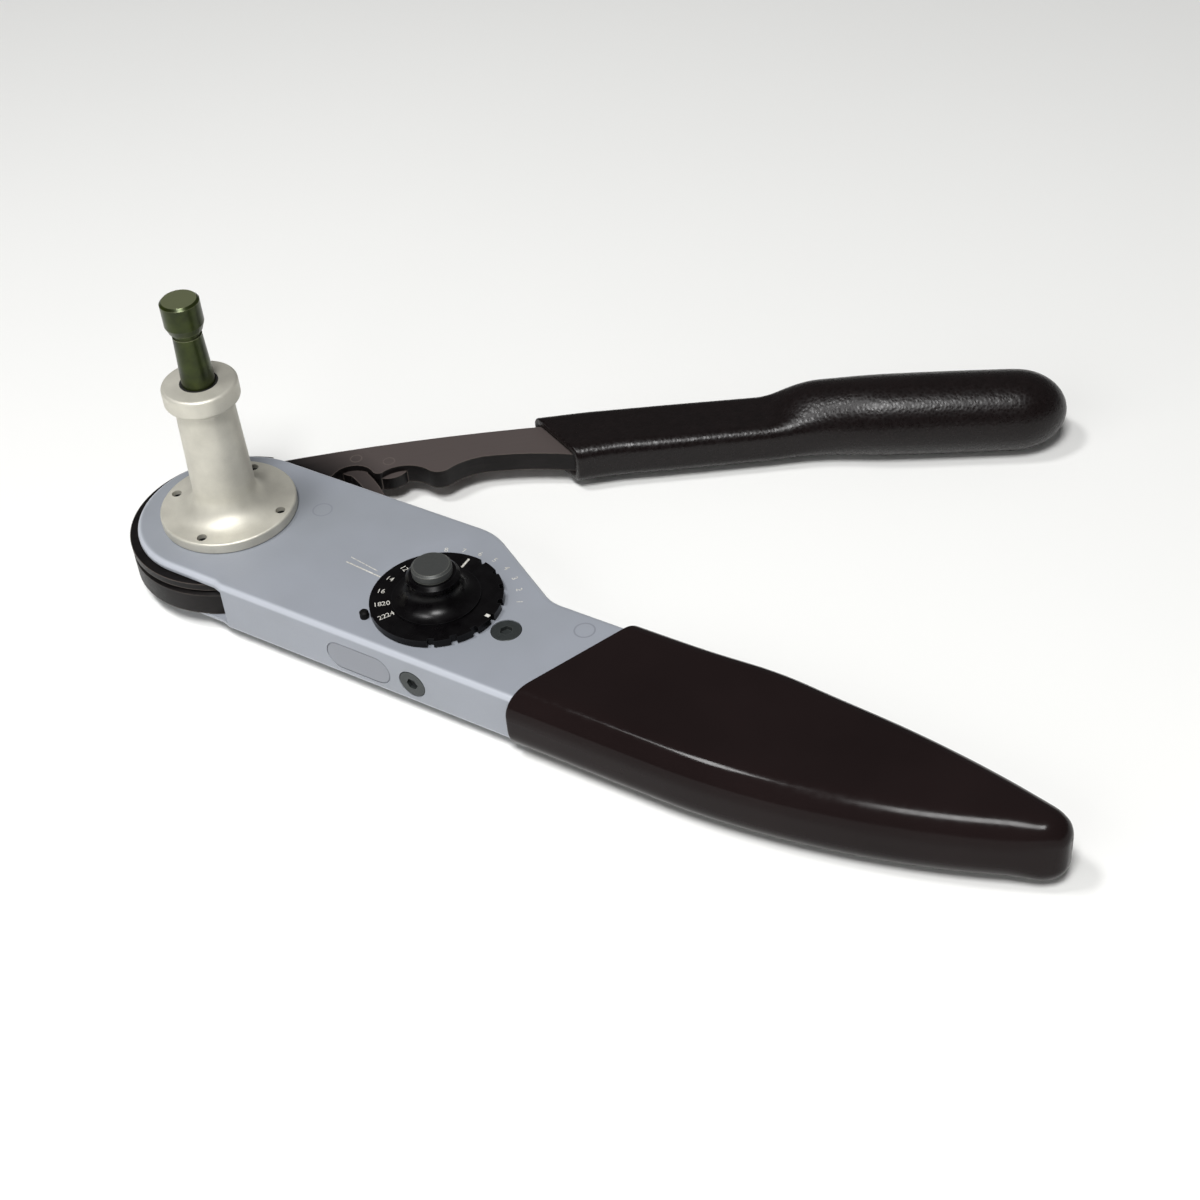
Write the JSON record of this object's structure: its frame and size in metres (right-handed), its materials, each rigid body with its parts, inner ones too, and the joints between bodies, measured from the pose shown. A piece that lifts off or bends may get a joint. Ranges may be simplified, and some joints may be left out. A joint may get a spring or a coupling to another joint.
{
  "type": "hand crimping tool",
  "caption": "Hand tool that crimps round contacts: squeezing the handle turns a cam ring that drives indenters inward; a dial sets the depth and a screw tower locates the contact.",
  "frame": {"origin": "centre of the contact entry hole, on the outer face of the indenter cover under the head", "axes": "+Z along the crimp axis towards the locator tower, +X towards the fixed grip, the moving handle on the +Y side"},
  "size_m": [0.2497, 0.17, 0.0787],
  "materials": {
    "grey_paint": "satin blue-grey enamel",
    "black_vinyl": "glossy dipped vinyl",
    "grained_vinyl": "grained vinyl",
    "blasted_aluminium": "bead blasted, clear anodised",
    "green_anodised": "dark olive anodised",
    "black_oxide": "black oxide",
    "tool_steel": "ground",
    "black_plastic": "gloss",
    "dark_cap": "satin",
    "seal_rubber": "matt"
  },
  "bodies": {
    "frame": {"frame": "grey_paint", "fixed_grip": "black_vinyl", "indenter_guide": "tool_steel", "indenter_cover": "black_oxide", "cover_screws": "black_oxide", "locator_tower": "blasted_aluminium", "tower_screws": "black_oxide", "stem_seal": "seal_rubber", "window_plug": "grey_paint", "side_screw": "black_oxide", "top_screw": "black_oxide", "index_pin": "black_oxide", "pawl_pin": "grey_paint", "tang_dowel": "grey_paint"},
    "handle": {"handle_arm": "black_oxide", "ring_plate": "black_oxide", "ring_rivets": "black_oxide", "ratchet_sector": "tool_steel", "sector_rivets": "black_oxide", "moving_grip": "grained_vinyl"},
    "indenter_1": {"indenter_1": "tool_steel"},
    "indenter_2": {"indenter_2": "tool_steel"},
    "indenter_3": {"indenter_3": "tool_steel"},
    "indenter_4": {"indenter_4": "tool_steel"},
    "pawl": {"ratchet_pawl": "tool_steel"},
    "selector_carrier": {"selector_washer": "tool_steel", "selector_spring": "tool_steel"},
    "selector": {"selector_dial": "black_plastic", "selector_knob": "black_plastic", "knob_cap": "dark_cap", "selector_shaft": "tool_steel", "step_cam": "tool_steel"},
    "locator_rod": {"locator_rod": "tool_steel"},
    "adjusting_screw": {"adjusting_screw": "green_anodised"}
  },
  "joints": [
    {"name": "handle_squeeze", "type": "hinge", "parent": "frame", "child": "handle", "pos_m": [0, 0, 0.0075], "axis": [0, 0, -1], "range_deg": [0, 30], "stiffness_Nm_per_rad": 0.5, "springref_deg": -20.05},
    {"name": "pawl_swing", "type": "hinge", "parent": "frame", "child": "pawl", "pos_m": [0.0209, 0.0109, 0.008], "axis": [0, 0, 1], "range_deg": [-20, 20], "stiffness_Nm_per_rad": 0.002},
    {"name": "selector_lift", "type": "slide", "parent": "frame", "child": "selector_carrier", "axis": [0, 0, 1], "range_m": [0, 0.0018], "stiffness_N_per_m": 1500, "springref_m": -0.002, "deforming": ["selector_spring"]},
    {"name": "selector_turn", "type": "hinge", "parent": "selector_carrier", "child": "selector", "pos_m": [0.0675, -0.00495, 0.0159], "axis": [0, 0, 1], "range_deg": [-60, 80]},
    {"name": "locator_travel", "type": "slide", "parent": "frame", "child": "locator_rod", "axis": [0, 0, -1], "range_m": [0, 0.01]},
    {"name": "screw_turn", "type": "hinge", "parent": "locator_rod", "child": "adjusting_screw", "pos_m": [0, 0, 0.0425], "axis": [0, 0, -1], "range_deg": [0, 3600]},
    {"name": "indenter_1_slide", "type": "slide", "parent": "frame", "child": "indenter_1", "axis": [-0.527, -0.8499, 0], "range_m": [0, 0.00121]},
    {"name": "indenter_2_slide", "type": "slide", "parent": "frame", "child": "indenter_2", "axis": [0.8499, -0.527, 0], "range_m": [0, 0.00121]},
    {"name": "indenter_3_slide", "type": "slide", "parent": "frame", "child": "indenter_3", "axis": [0.527, 0.8499, 0], "range_m": [0, 0.00121]},
    {"name": "indenter_4_slide", "type": "slide", "parent": "frame", "child": "indenter_4", "axis": [-0.8499, 0.527, 0], "range_m": [0, 0.00121]}
  ],
  "couplings": [
    {"joint": "screw_turn", "follows": "locator_travel", "rad_per_m": 6283.2},
    {"joint": "indenter_1_slide", "follows": "handle_squeeze", "m_per_rad": 0.0022918},
    {"joint": "indenter_2_slide", "follows": "handle_squeeze", "m_per_rad": 0.0022918},
    {"joint": "indenter_3_slide", "follows": "handle_squeeze", "m_per_rad": 0.0022918},
    {"joint": "indenter_4_slide", "follows": "handle_squeeze", "m_per_rad": 0.0022918}
  ]
}
